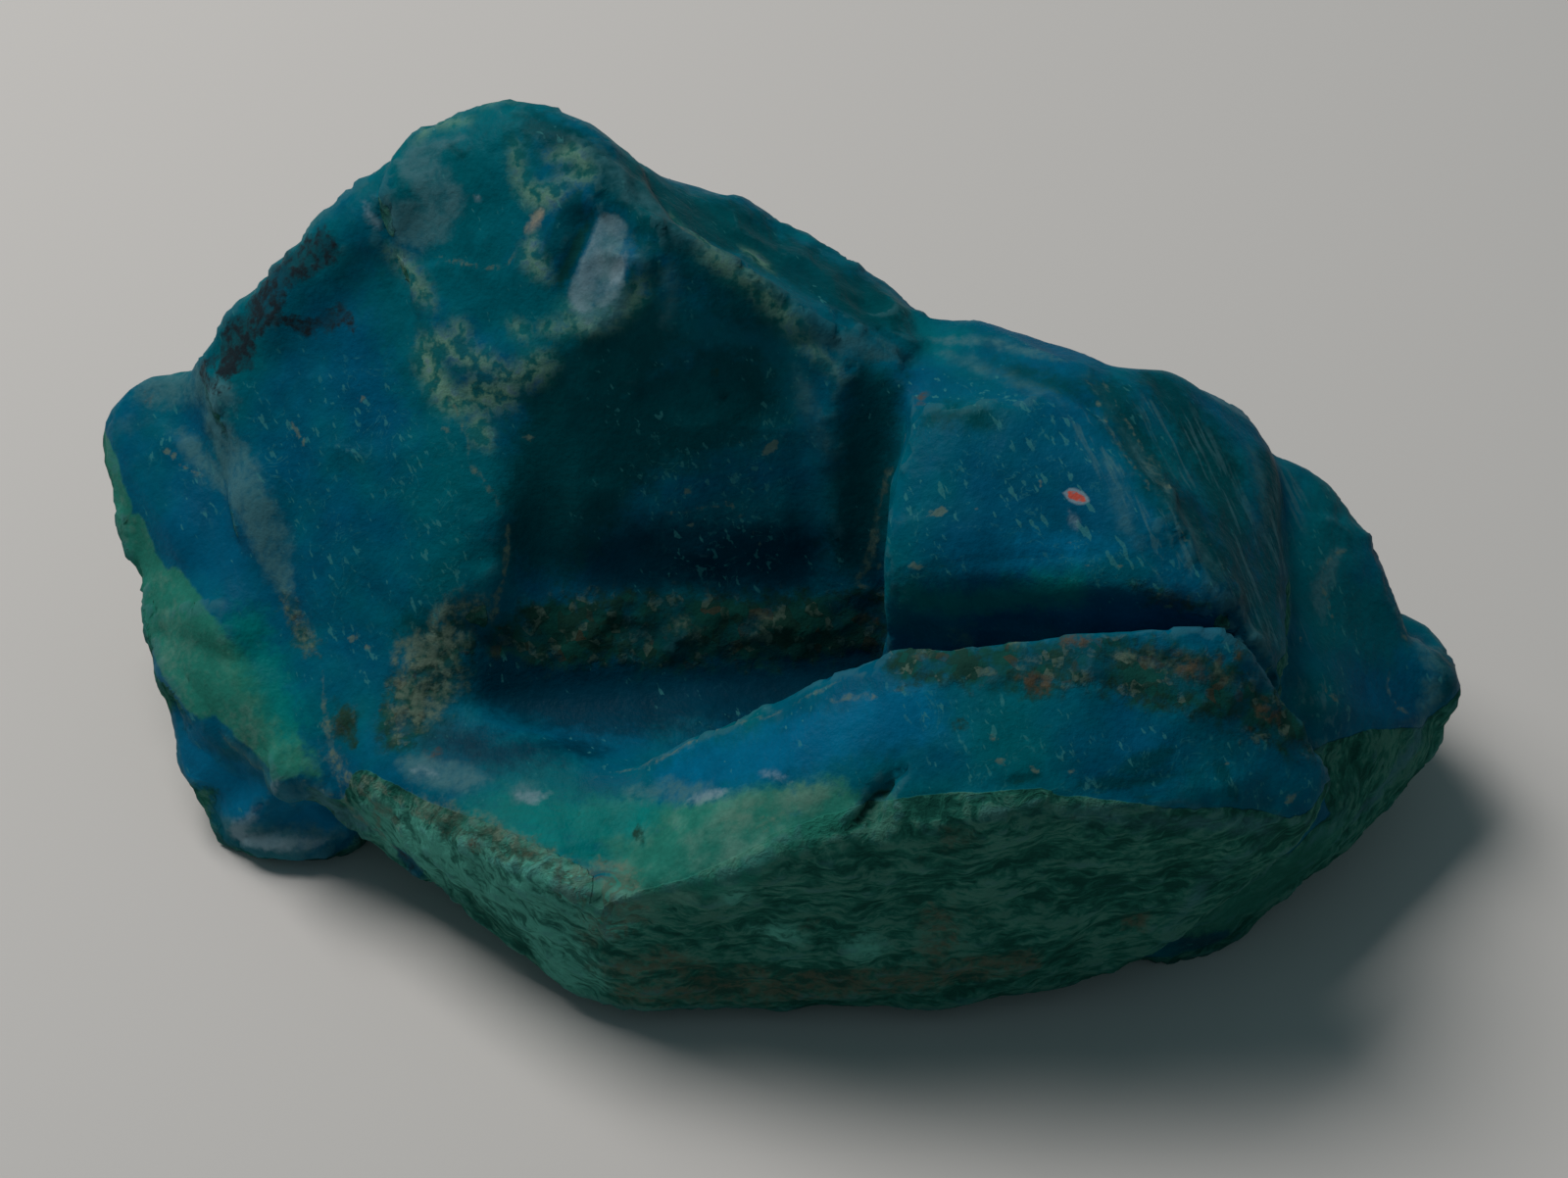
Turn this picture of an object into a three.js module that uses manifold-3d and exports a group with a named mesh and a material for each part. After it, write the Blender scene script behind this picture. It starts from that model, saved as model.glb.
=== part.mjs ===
// A rough hand specimen of chrysocolla, a blue-green copper silicate: one natural piece, broken on every side.
// It is one solid. Blocky masses are joined where they grew together, a notch and a crack are cut out of them,
// and the stone is then worn at its edges and given the low swells of a broken face.
// Millimetres, +Z up, +X to the right and +Y to the back. The stone lies on a flat cleavage face at Z = 0.
import * as THREE from "three";
import { ConvexGeometry } from "three/addons/geometries/ConvexGeometry.js";
import { ImprovedNoise } from "three/addons/math/ImprovedNoise.js";
import { TessellateModifier } from "three/addons/modifiers/TessellateModifier.js";
import { mergeVertices } from "three/addons/utils/BufferGeometryUtils.js";
import Module from "manifold-3d";

const LONGEST_EDGE = 3.7; // of any triangle on the finished stone
const WEAR = 0.3; // how far an edge is worn towards the surface around it at each pass, from 0 to 1
const WEAR_PASSES = 2;
const SWELL_HEIGHT = 0.45; // of the broad undulations on every face
const SWELL_LENGTH = 11; // from one swell to the next
const FLAT_BELOW = 1.2; // no relief this close to the cleavage face that it lies on
const MIDDLE = [-0.8, -0.2]; // of the stone's outline seen from above, on the axes of the corners below

// Corners of each blocky mass, as [x, y, z].
const PEAK = {
  capTop: [-17, 15.5, 36.4],
  apex: [-13.5, 15.2, 37],
  capLeft: [-21.8, 14.9, 34.5],
  capLower: [-23.5, 12.9, 32.2],
  leftPoint: [-34.7, 10.8, 23.5],
  leftPointFoot: [-36, 12.5, 19],
  bevelFoot: [-30, 1.5, 11],
  creaseFoot: [-28.4, -2.6, 13.2],
  footLeft: [-25.9, -4.3, 14],
  footMiddle: [-21.1, -6.2, 15.7],
  noseFoot: [-16.4, -5.1, 17.7],
  noseLower: [-15.6, -3, 20],
  noseMiddle: [-15.9, 0, 23],
  noseUpper: [-16.1, 2.4, 25.2],
  noseSide: [-13, -3.4, 12],
  noseRoot: [-18, -4, 8],
  rimLeft: [-10, 14.4, 36],
  backLeft: [-32, 17.5, 14],
  backMiddle: [-12, 21, 18],
  backLeftFoot: [-31, 18, 4],
  backMiddleFoot: [-8, 22, 4],
};

const WALL = {
  nose: [-16.1, 2.4, 25.2],
  noseSide: [-14, -4, 12],
  lipLower: [-12.3, 2.5, 28.3],
  crestUpper: [-7.1, 4.6, 36],
  crestMiddle: [-4, 4.8, 34.4],
  crestLower: [0.3, 3.4, 31.2],
  crestEnd: [8, 4.5, 28],
  footMiddle: [-4, -4.2, 12],
  footRight: [4.5, -4.1, 12],
  footEnd: [10, -1, 10],
  wallEnd: [10, 4.2, 20],
  rimLeft: [-9, 13, 35.5],
  rimMiddle: [-3, 13.8, 30.8],
  rimRight: [3, 12, 28.4],
  rimEnd: [8, 10, 26],
  backLeft: [-14, 20, 18],
  backMiddle: [-8, 20.5, 18],
  backRight: [8, 16, 16],
  backFoot: [-8, 22, 4],
  backFootRight: [8, 17, 4],
};

const CAP = {
  apexLeft: [-17.4, 15.4, 37.6],
  apexRight: [-13.2, 15, 38.2],
  apexBack: [-10.9, 14.1, 37.3],
  notch: [-21.2, 15.5, 35.9],
  leftUpper: [-22.8, 12.7, 33.8],
  leftMiddle: [-22.4, 9.2, 30.6],
  leftLower: [-20.4, 5.2, 27.4],
  footLeft: [-18.6, 3.2, 26.2],
  foot: [-16.2, 1.7, 26.2],
  footRight: [-12.2, 2, 29],
  crestFront: [-5.9, 3.7, 34],
  crestMiddle: [-5.6, 5.2, 35.8],
  crestUpper: [-8.2, 7, 37.5],
  crestBack: [-10.8, 10.5, 38.3],
  backRight: [-8.8, 13.3, 35.9],
  backRoot: [-10, 18, 30],
  leftRoot: [-20, 17.5, 30],
};

// Three knobs in a row along the back of the crest, and the vein that runs down it.
const KNOB_UPPER = {
  rimLeft: [-8.6, 13, 34.6],
  rimTop: [-5, 15, 32.8],
  rimMiddle: [-3, 15.2, 31.6],
  rimRight: [-0.4, 13.2, 30.4],
  crestLeft: [-6.5, 8.5, 35.2],
  crestRight: [-0.5, 6.5, 32.4],
  root: [-4, 8, 27],
  rootBack: [-4, 16.5, 24],
  rootLeft: [-10, 14, 28],
  rootRight: [3, 13, 26],
};

const KNOB_MIDDLE = {
  rimLeft: [-1.8, 13.6, 30.5],
  rimMiddle: [1.4, 13.8, 30],
  rimRight: [4.2, 12, 28.8],
  crestLeft: [-1, 7, 32.1],
  crestRight: [4, 5.5, 30.4],
  root: [1, 7, 25],
  rootBack: [1, 14.8, 23],
  rootRight: [7, 12, 25],
};

const KNOB_LOWER = {
  rimLeft: [2.6, 12, 28.8],
  rimMiddle: [6, 12, 28.3],
  rimRight: [7.9, 10.4, 27.2],
  edgeRight: [8.4, 7, 27.4],
  crestLeft: [2.6, 6, 30.4],
  crestRight: [7.5, 4.5, 28.9],
  root: [6, 6, 20],
  rootBack: [6, 13.4, 20],
};

const VEIN = {
  top: [-8, 6, 37.6],
  upper: [-5, 5.5, 35.9],
  middle: [-2, 5, 34],
  lower: [1.5, 4, 31.6],
  foot: [3.8, 3, 30.2],
  topRoot: [-9, 8, 34],
  footRoot: [3, 7, 28],
  middleRoot: [-4, 3, 32],
};

const BUTTRESS = {
  shelfLeft: [0.4, 2.8, 30.6],
  shelfFront: [3.9, 1.4, 29.4],
  shelfRight: [7.8, 2.2, 28.2],
  shelfBack: [5, 5, 29.8],
  leftMiddle: [-0.5, 1.4, 23.5],
  ridgeMiddle: [2.4, -0.6, 23.5],
  foot: [4.6, -4.9, 12.4],
  rightMiddle: [8, 0.5, 22],
  footRight: [8, -3, 12],
  root: [6, 6, 12],
};

// The crumbly brown foot of the dark wall.
const TALUS = {
  topLeft: [-15.6, -3.2, 16.6],
  topMiddle: [-10, -2.4, 16.6],
  top: [-2.5, -2.6, 16.3],
  topRight: [6.2, -3, 16.1],
  footLeft: [-18.5, -6.6, 12.8],
  footRight: [6.8, -4.9, 11.6],
  rootLeft: [-16, 0, 8],
  rootRight: [6, 4, 8],
  rootFront: [-2, -6, 8],
};

// The skirt below the lit face, down to the left end of the front rim.
const SADDLE = {
  topLeft: [-28.4, -3.2, 13],
  topMiddle: [-25, -5.6, 14],
  top: [-20.6, -6.8, 15.2],
  topRight: [-17, -5.8, 16.2],
  footLeft: [-28.6, -7.6, 10.4],
  footFront: [-26.2, -10.2, 9.5],
  foot: [-22.4, -8.6, 12.6],
  footRight: [-18.6, -8, 12.6],
  footEnd: [-15, -5, 12.4],
  rootLeft: [-26, 0, 6],
  rootFront: [-22, -9, 6],
  rootRight: [-14, -2, 6],
};

const WING = {
  tip: [-41.4, 12.4, 17],
  tipBack: [-40.8, 15, 16.5],
  tipTop: [-39.8, 13.4, 18.6],
  topBack: [-36.2, 13.2, 19.5],
  edgeUpper: [-39.4, 9, 16],
  edgeLower: [-31.3, -4, 11.4],
  edgeEnd: [-28.4, -8, 10.3],
  edgeFoot: [-26.6, -10, 9.3],
  skirtBack: [-42, 12.5, 13],
  skirtTop: [-41.2, 10, 14.6],
  skirtUpper: [-40.4, 7, 12],
  skirtMiddle: [-39, 4, 10],
  skirtLower: [-36.8, 1, 8.3],
  skirtFoot: [-33.8, -4, 6.8],
  skirtEnd: [-30, -7.8, 6.4],
  skirtFront: [-26.5, -9.8, 6.8],
  innerLower: [-28, -3, 13],
  innerFront: [-20, -2, 8],
  innerBack: [-24, 16, 6],
  backFoot: [-36, 16.5, 7],
};

const FOOT = {
  top: [-37, -0.5, 9],
  side: [-36.4, -4.5, 5.5],
  bevelLeft: [-35.5, -7, 2.5],
  toeLeft: [-33.2, -8, 0],
  toeMiddle: [-30, -9, 0],
  toeRight: [-25, -8.5, 0],
  bevelFront: [-30, -9.8, 2.2],
  bevelRight: [-24.5, -9.8, 3],
  frontTop: [-31, -7.5, 6.5],
  innerTop: [-24, -5, 9],
  sideBack: [-38.2, 5, 6.5],
  sideLow: [-36.4, 3, 2.2],
  backTop: [-39, 11, 10],
  back: [-34, 15.5, 6],
  heelLeft: [-34, 4, 0],
  heel: [-31, 11, 0],
  heelRight: [-22, 12, 0],
};

// Thin flakes that step down under the left end of the front rim.
const FLAKE_UPPER = {
  left: [-28.4, -9.4, 7.6],
  right: [-23.4, -12.6, 7.6],
  lowLeft: [-26.6, -10.2, 6.2],
  lowRight: [-23.6, -12.6, 5.4],
  root: [-22, -8, 5],
  rootTop: [-22, -9, 9],
  rootLeft: [-27.4, -9, 9.3],
};

const FLAKE_LOWER = {
  left: [-24.6, -11, 5.6],
  front: [-22.6, -13.6, 4.9],
  right: [-20.6, -15.2, 4.6],
  lowLeft: [-23.4, -11.4, 3.8],
  lowRight: [-20.4, -14.6, 3.4],
  root: [-18, -10, 3],
  rootTop: [-18, -12, 8],
};

const PROW = {
  rimBack: [-26, -10.4, 9.4],
  rimLeft: [-22, -13.8, 10.1],
  rimMiddle: [-17.3, -17.2, 10.7],
  rimRight: [-12.8, -20, 11.4],
  corner: [-9.5, -22.1, 11.8],
  skirtLeft: [-23.6, -12, 6.8],
  skirtMiddle: [-19.2, -15.6, 4.8],
  skirtRight: [-14.6, -18.4, 2.6],
  toe: [-10, -21.3, 1.2],
  shelfLeft: [-24.6, -8.8, 12.2],
  shelfBack: [-18.6, -7.6, 13],
  ridgeStart: [-8, -13.4, 13.3],
  rootLeft: [-20, -6, 2],
  rootRight: [-4, -12, 1],
  frontRight: [-4, -20.6, 3],
};

const BLADE = {
  corner: [-9.5, -22.1, 11.8],
  rimFirst: [-5.2, -22, 13.3],
  rimRise: [2.5, -21.2, 17.4],
  rimMiddle: [8.1, -21.2, 19],
  rimTop: [14.1, -21.5, 19.8],
  rimRight: [19.3, -21.5, 19.4],
  rimEnd: [26, -20.1, 16.5],
  end: [29, -18.8, 15],
  endFront: [30.4, -17, 16],
  endBack: [28.6, -15.8, 18.4],
  ridgeEnd: [25.8, -13.4, 22],
  ridgeRight: [23.5, -12.8, 24.6],
  ridgeTop: [17, -13.5, 25],
  ridgeMiddle: [12.5, -13.5, 24.5],
  ridgeLeft: [8, -13.5, 23.5],
  ridgeDip: [5, -13.5, 22],
  ridgeFall: [1.5, -13, 19.5],
  ridgeLow: [-4, -13, 16],
  ridgeStart: [-8.5, -13.5, 13.4],
  toeLeft: [-10, -21.3, 1.2],
  toe: [-2.2, -21.3, 1.2],
  toeMiddle: [5, -21, 1.3],
  toeRight: [13, -20.6, 1.6],
  toeEnd: [18, -19.8, 1.6],
  cheekLow: [21, -18.4, 3.6],
  cheekTop: [27.4, -17.6, 11],
  rootLeft: [-6, -11, 2],
  rootRight: [22, -9, 2],
  backLeft: [2, -11, 11],
  backRight: [24, -9, 14],
};

const LEDGE = {
  frontLeft: [4.9, -8.3, 24.3],
  frontEnd: [23.5, -11.5, 25],
  lipLeft: [5.4, -8.8, 22.5],
  sideMiddle: [5.3, -6.6, 25.8],
  sideUpper: [5.8, -3.5, 27.6],
  backLeft: [7.6, -0.6, 29],
  backMiddle: [10.5, -1, 29.7],
  backRight: [16, -0.6, 29.8],
  sideBack: [17.8, -2.6, 29],
  sideFront: [19.8, -7.6, 27.4],
  rootFrontLeft: [6.5, -6, 8],
  rootFrontRight: [23, -10, 8],
  rootBackLeft: [7, 8, 8],
  rootBackRight: [22, 6, 8],
  backTop: [9, 4, 27.5],
};

const PLATEAU = {
  frontLeft: [7, -1, 28.6],
  frontRight: [18.4, -1.4, 28.4],
  ridge: [16.6, 0.6, 29.3],
  rimLeft: [7, 8.5, 27.4],
  rimMiddle: [11, 8.3, 27.8],
  rimRight: [14, 7.2, 27.7],
  rimEnd: [17.5, 4.5, 28],
  backLeft: [5, 15, 15],
  backRight: [20, 13, 14],
  rootLeft: [5, 16, 4],
  rootRight: [22, 15, 4],
  rootFront: [10, -4, 8],
};

const SHOULDER = {
  top: [16.5, 3.4, 28.3],
  rimMiddle: [21, 4.8, 27],
  rimRight: [25, 4.6, 24.6],
  rimEnd: [28, 4, 21.8],
  valleyMiddle: [28, -2, 19.6],
  veinUpper: [17.4, -2, 29],
  veinMiddle: [19.2, -6.8, 27.6],
  veinLower: [23, -11.2, 25],
  veinFoot: [27.4, -13.6, 20.3],
  back: [20, 13, 16],
  backRight: [29, 11, 14],
  rootBack: [26, 13, 4],
  rootFront: [25, -12, 4],
  rootLeft: [14, 0, 4],
};

const HAUNCH = {
  topLeft: [28.2, 4.2, 21],
  top: [31, 5, 19.8],
  topRight: [33, 4, 18],
  sideUpper: [34.6, 2, 16],
  sideMiddle: [35.8, -0.4, 13.5],
  sideFoot: [36.4, -5, 11.5],
  sideLower: [36.6, -7.6, 10.4],
  frontRight: [31, -11.4, 13],
  frontMiddle: [29.6, -10.4, 15.6],
  frontLeft: [26.6, -8.6, 18],
  valley: [27.2, -3, 19.4],
  inner: [24, 2, 19],
  innerFront: [24, -12, 14],
  back: [30, 11, 12],
  backFoot: [30, 12, 2],
  root: [24, -8, 2],
};

const TAIL = {
  tipUpper: [39.6, -1.5, 10.4],
  tip: [40.3, -3.2, 8.4],
  tipLower: [39.5, -4.8, 6.4],
  shoulder: [37.6, -1, 12],
  ridgeUpper: [36.8, -3, 12.4],
  ridgeMiddle: [37, -6.4, 10.2],
  skirtUpper: [36.8, -7.6, 5.4],
  skirtMiddle: [34.3, -10, 4],
  skirtLower: [31.3, -12.6, 2.5],
  skirtFoot: [29, -14, 1.5],
  toe: [25.5, -16, 0],
  toeLeft: [22.6, -17, 0],
  toeTop: [20.6, -17.8, 3],
  cheek: [29, -15.4, 9.5],
  cheekBack: [30, -12, 13],
  back: [37, 5, 7],
  backFoot: [33, 8, 0],
  rootBack: [20, 12, 0],
  rootFront: [14, -14, 0],
};

const BASE = {
  frontLeft: [-20, -12, 0],
  front: [-8, -18.5, 0],
  frontRight: [14, -18, 0],
  right: [30, -8, 0],
  backRight: [28, 10, 0],
  back: [0, 19, 0],
  backLeft: [-24, 15, 0],
  left: [-26, 0, 0],
  floorLeft: [-24, -5, 12],
  floorFront: [-9, -13.5, 11.6],
  floorRight: [10, -12, 10.4],
  topRight: [30, -6, 11],
  topBackRight: [26, 11, 12],
  topBack: [-4, 20, 13],
  topBackLeft: [-30, 15, 12],
};

// A slab across the back, where the stone parted from its vein.
const BACK_SLAB = {
  topLeft: [-27, 17.8, 17],
  top: [-13, 20.6, 22],
  topRight: [1, 17.5, 20.5],
  right: [10, 16.4, 12],
  footRight: [5, 18.6, 4.5],
  foot: [-13, 22, 3],
  footLeft: [-28, 18.9, 6],
  rootLeft: [-26, 10, 8],
  rootRight: [4, 10, 8],
};

const MASSES = [
  BACK_SLAB, PEAK, WALL, CAP, KNOB_UPPER, KNOB_MIDDLE, KNOB_LOWER, VEIN, BUTTRESS, TALUS, SADDLE, WING, FOOT,
  FLAKE_UPPER, FLAKE_LOWER, PROW, BLADE, LEDGE, PLATEAU, SHOULDER, HAUNCH, TAIL, BASE,
];

// What has broken out of the stone: the notch beside the crest, and the crack in the front rim.
const CREST_NOTCH = {
  bottomBack: [-10.6, 7.6, 35.2],
  bottomFront: [-12.5, 4.8, 31.3],
  leftBack: [-11.7, 7.8, 38],
  leftFront: [-13.6, 4.4, 35],
  rightBack: [-8.2, 5.8, 36.7],
  rightFront: [-8.6, 2.9, 32.9],
  topBack: [-8.2, 5.8, 39],
  topFront: [-8.6, 2.9, 36],
};

const RIM_CRACK = {
  innerEnd: [6, -18.2, 19.6],
  innerLeft: [5.8, -18.4, 22],
  innerRight: [6.4, -18.2, 22],
  bottom: [4.1, -20.9, 16.4],
  bottomRight: [4.9, -21.4, 16.8],
  topLeft: [3.9, -21.8, 20],
  topRight: [5, -22, 20],
};

const BREAKS = [CREST_NOTCH, RIM_CRACK];

const wasm = await Module();
wasm.setup();

// A closed geometry as a manifold-3d solid.
function solidOf(geometry) {
  const bare = new THREE.BufferGeometry().setAttribute("position", geometry.getAttribute("position"));
  const merged = mergeVertices(geometry.index ? bare.setIndex(geometry.index) : bare, 1e-4);
  return new wasm.Manifold(
    new wasm.Mesh({
      numProp: 3,
      vertProperties: merged.attributes.position.array,
      triVerts: new Uint32Array(merged.index.array),
    }),
  );
}

// A manifold-3d solid as a geometry.
function geometryOf(solid) {
  const mesh = solid.getMesh();
  return new THREE.BufferGeometry()
    .setAttribute("position", new THREE.BufferAttribute(mesh.vertProperties, 3))
    .setIndex(new THREE.BufferAttribute(mesh.triVerts, 1));
}

// The blocky mass between its corners.
function mass(corners) {
  const points = Object.values(corners).map((corner) => new THREE.Vector3(...corner));
  return solidOf(new ConvexGeometry(points));
}

function stone() {
  const grown = MASSES.map(mass).reduce((whole, next) => whole.add(next));
  return BREAKS.map(mass).reduce((whole, lost) => whole.subtract(lost), grown);
}

// Triangles small enough to take the wear and the swells, with shared vertices.
function divide(geometry) {
  const fine = new TessellateModifier(LONGEST_EDGE, 30).modify(geometry);
  const bare = new THREE.BufferGeometry().setAttribute("position", fine.getAttribute("position"));
  return mergeVertices(bare, 1e-3);
}

// Edges worn round: each vertex moves towards the middle of its neighbours, and the resting face stays flat.
function wear(geometry) {
  const { position } = geometry.attributes;
  const middles = Array.from({ length: position.count }, () => ({ sum: new THREE.Vector3(), count: 0 }));
  const neighbour = new THREE.Vector3();
  const { array } = geometry.index;
  for (let i = 0; i < array.length; i++) {
    const next = i % 3 === 2 ? i - 2 : i + 1;
    const middle = middles[array[i]];
    middle.sum.add(neighbour.fromBufferAttribute(position, array[next]));
    middle.count += 1;
  }
  const point = new THREE.Vector3();
  middles.forEach((middle, i) => {
    point.fromBufferAttribute(position, i);
    const resting = point.z <= 0;
    point.lerp(middle.sum.divideScalar(middle.count), WEAR);
    position.setXYZ(i, point.x, point.y, resting ? 0 : point.z);
  });
  return geometry;
}

// Low swells over every face but the one that the stone lies on.
function weather(geometry) {
  const noise = new ImprovedNoise();
  geometry.computeVertexNormals();
  const { position, normal } = geometry.attributes;
  const point = new THREE.Vector3();
  const outward = new THREE.Vector3();
  for (let i = 0; i < position.count; i++) {
    point.fromBufferAttribute(position, i);
    outward.fromBufferAttribute(normal, i);
    const free = THREE.MathUtils.smoothstep(point.z, 0, FLAT_BELOW);
    const at = point.clone().divideScalar(SWELL_LENGTH);
    const swell = noise.noise(at.x, at.y, at.z);
    point.addScaledVector(outward, swell * SWELL_HEIGHT * free);
    position.setXYZ(i, point.x - MIDDLE[0], point.y - MIDDLE[1], Math.max(point.z, 0));
  }
  return geometry;
}

// The broken stone with its wear and its swells.
function finished(geometry) {
  let surface = divide(geometry);
  for (let pass = 0; pass < WEAR_PASSES; pass++) surface = wear(surface);
  return weather(surface);
}

const material = new THREE.MeshStandardMaterial({ color: 0x0b5566, roughness: 0.55, metalness: 0 });
const chrysocolla = new THREE.Mesh(finished(geometryOf(stone())), material);
chrysocolla.name = "chrysocolla";

const part = new THREE.Group();
part.add(chrysocolla);

export default part;
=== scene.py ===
"""Raw chrysocolla: the looks of a broken piece of blue-green copper mineral, as a Blender add-on."""

import math

import bmesh
import bpy
import numpy as np
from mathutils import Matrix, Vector, noise
from mathutils.bvhtree import BVHTree


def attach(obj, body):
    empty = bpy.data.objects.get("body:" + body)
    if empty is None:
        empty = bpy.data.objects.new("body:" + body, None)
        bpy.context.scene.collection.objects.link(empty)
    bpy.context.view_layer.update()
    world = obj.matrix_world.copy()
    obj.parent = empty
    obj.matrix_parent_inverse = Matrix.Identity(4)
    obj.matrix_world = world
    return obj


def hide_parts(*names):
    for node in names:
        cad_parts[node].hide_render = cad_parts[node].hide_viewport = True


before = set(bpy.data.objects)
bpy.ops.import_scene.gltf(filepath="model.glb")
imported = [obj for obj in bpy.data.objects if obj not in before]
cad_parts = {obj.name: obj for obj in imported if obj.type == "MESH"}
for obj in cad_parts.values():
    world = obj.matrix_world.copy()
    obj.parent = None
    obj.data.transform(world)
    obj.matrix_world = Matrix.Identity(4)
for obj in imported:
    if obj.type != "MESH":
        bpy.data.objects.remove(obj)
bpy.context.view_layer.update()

bl_info = {
    "name": "Raw Chrysocolla",
    "version": (1, 0, 0),
    "blender": (4, 5, 0),
    "location": "View3D > Sidebar > Chrysocolla",
    "description": "Builds a rough piece of chrysocolla with its crust, veins and broken faces",
    "category": "Add Mesh",
}

CAD_NODE = "chrysocolla"
MM = 0.001

# The view: a short telephoto lens that looks down on the stone at 45 degrees.
VIEW_WIDTH = 1600
VIEW_HEIGHT = 1202
LENS_MM = 70.0
SENSOR_MM = 36.0
VIEW_ELEVATION = math.radians(45.0)
VIEW_DISTANCE = 178.0 * MM
VIEW_TARGET = Vector((0.8, 0.2, 14.0)) * MM
VIEW_RIGHT = Vector((1.0, 0.0, 0.0))
VIEW_FORWARD = Vector((0.0, math.cos(VIEW_ELEVATION), -math.sin(VIEW_ELEVATION)))
VIEW_UP = VIEW_RIGHT.cross(VIEW_FORWARD)
VIEW_EYE = VIEW_TARGET - VIEW_FORWARD * VIEW_DISTANCE
FOCAL_PIXELS = LENS_MM / SENSOR_MM * VIEW_WIDTH

# A mark doesn't show through to a face that is turned away from it.
BACK_TURN = 0.3
BACK_PENALTY = 4.0 * MM
# These marks do reach round the stone's edges.
WRAPPING = {"green", "leaf", "film", "raised", "foot", "bare", "sunk", "gloom", "heel"}
# A mark with a half width under BROAD is pointed: it starts at POINT of its width and grows to
# all of it over the first and last 1 / TAPER of its length.
BROAD = 1.0 * MM
POINT = 0.15
TAPER = 4.0

# The broad face of the crust is made of thin layers that dip a little towards the front.
LAYER_NORMAL = Vector((-0.04, -0.8, 0.6)).normalized()
LAYER_TILT = math.atan2(-LAYER_NORMAL.y, LAYER_NORMAL.z)
LAYER_STRETCH = (4.5, 3.5, 1.0)
RIDGE_SQUEEZE = (0.35, 0.5, 1.0)
# The pale flecks in the blue, and the scratches over the shoulder, run down towards the front.
FLECK_RUN = Vector((0.46, -0.75, -0.47))
FAN_RUN = Vector((0.35, -0.87, -0.35))

# Sizes of the relief's swells, hollows and chips, and of the bends in their edges.
SWELL_SIZE = 9.0 * MM
HOLLOW_SIZE = 5.5 * MM
CHIP_SIZE = 2.6 * MM
BEND_SIZE = 5.0 * MM
BEND = 1.2 * MM
# Turns a chip's middle into the place where its lean is looked up.
LEAN_PICK = 9.0
# Sizes of the matrix's lumps, the nicks along edges and the crust's ridges and their bends.
LUMP_SIZE = 1.3 * MM
NICK_SIZE = 2.0 * MM
RIDGE_SIZE = 1.3 * MM
RIDGE_BEND_SIZE = 6.0 * MM
RIDGE_BEND = 0.8 * MM
# How far a point stands out of its neighbours where an edge starts, is sharp, and is worn pale.
EDGE_START = 0.012 * MM
EDGE_SHARP = 0.05 * MM
EDGE_WORN = 0.04 * MM
# Crust covers a face whose normal's upward part is under CRUST_ALL, and none above CRUST_NONE.
CRUST_ALL = 0.15
CRUST_NONE = 0.4
# No old crust lies in the open middle of the stone: its sides and its bottom, in millimetres.
OPEN_X = (-16, 24)
OPEN_Y = (-13, 12)
OPEN_BOTTOM = 10
MELT_PASSES = 22

# The soft light stands to the upper left, a little behind the stone.
LIGHT_FROM = Vector((-0.5, 0.4, 1.0)).normalized()
LIGHT_DISTANCE = 0.5


# ---- Settings ----


def length(name, description, millimetres):
    """A length setting."""
    return bpy.props.FloatProperty(
        name=name, description=description, default=millimetres * MM, unit="LENGTH", precision=6)


def colour(name, description, value):
    """A colour setting, as linear red, green and blue."""
    return bpy.props.FloatVectorProperty(
        name=name, description=description, subtype="COLOR", size=4, min=0.0, max=1.0,
        default=(*value, 1.0))


class StoneSettings(bpy.types.PropertyGroup):
    """Sizes of the stone's surface."""

    grain: length("Grain", "Size of one face of the surface mesh", 0.38)
    crease: bpy.props.FloatProperty(
        name="Crease", description="Faces that meet at less than this angle melt into one",
        default=math.radians(10.0), unit="ROTATION")
    swell: length("Swell", "Height of the low swells on the broken faces", 0.4)
    ridge: length("Ridge", "Height of the layered ridges on the crust", 0.28)
    step: length("Step", "Height of the wing's outer side over the foot", 0.9)
    lump: length("Lump", "Height of the lumps on the brown matrix", 0.2)
    chip: length("Chip", "Height of the small chipped faces", 0.55)
    wear: length("Wear", "Depth of the nicks along worn edges", 0.35)
    slit: length("Slit", "Depth of the narrow cracks", 0.5)


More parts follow.
